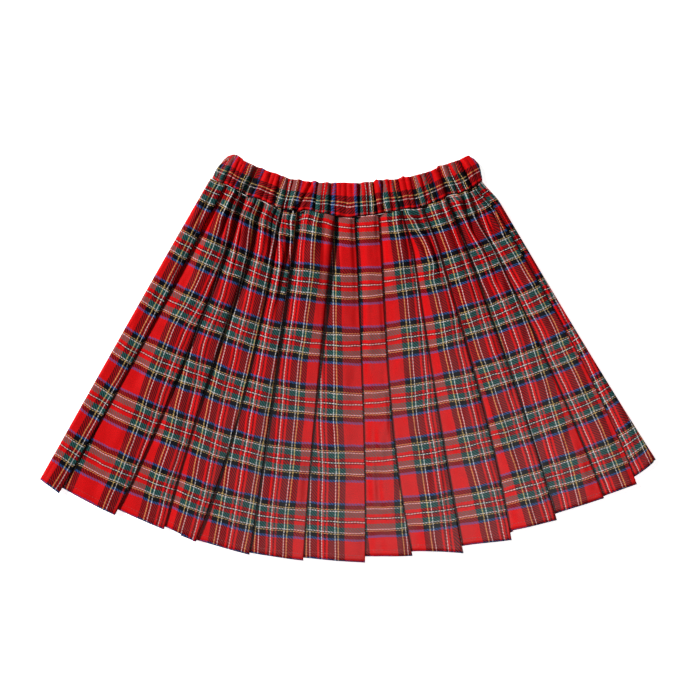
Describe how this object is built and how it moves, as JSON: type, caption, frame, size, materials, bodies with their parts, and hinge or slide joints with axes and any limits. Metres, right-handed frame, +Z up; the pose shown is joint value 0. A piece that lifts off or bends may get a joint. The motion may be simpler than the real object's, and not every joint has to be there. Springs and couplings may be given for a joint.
{
  "type": "tartan skirt",
  "caption": "Pleated tartan skirt with a gathered elastic waistband, laid flat with its knife pleats fanned out to a wide curved hem.",
  "frame": {"origin": "middle of the skirt's outline, on the surface that it lies on", "axes": "+Z up out of the surface, through the front of the skirt; +Y from the hem towards the waist; +X to the right of someone who looks down at the front"},
  "size_m": [0.6788, 0.4542, 0.0108],
  "materials": {
    "tartan_twill": "matt brushed twill, red tartan",
    "tartan_casing": "the same twill, doubled over elastic and gathered"
  },
  "bodies": {
    "root": {"front_panel": "tartan_twill", "back_panel": "tartan_twill", "waistband": "tartan_casing"}
  },
  "joints": []
}
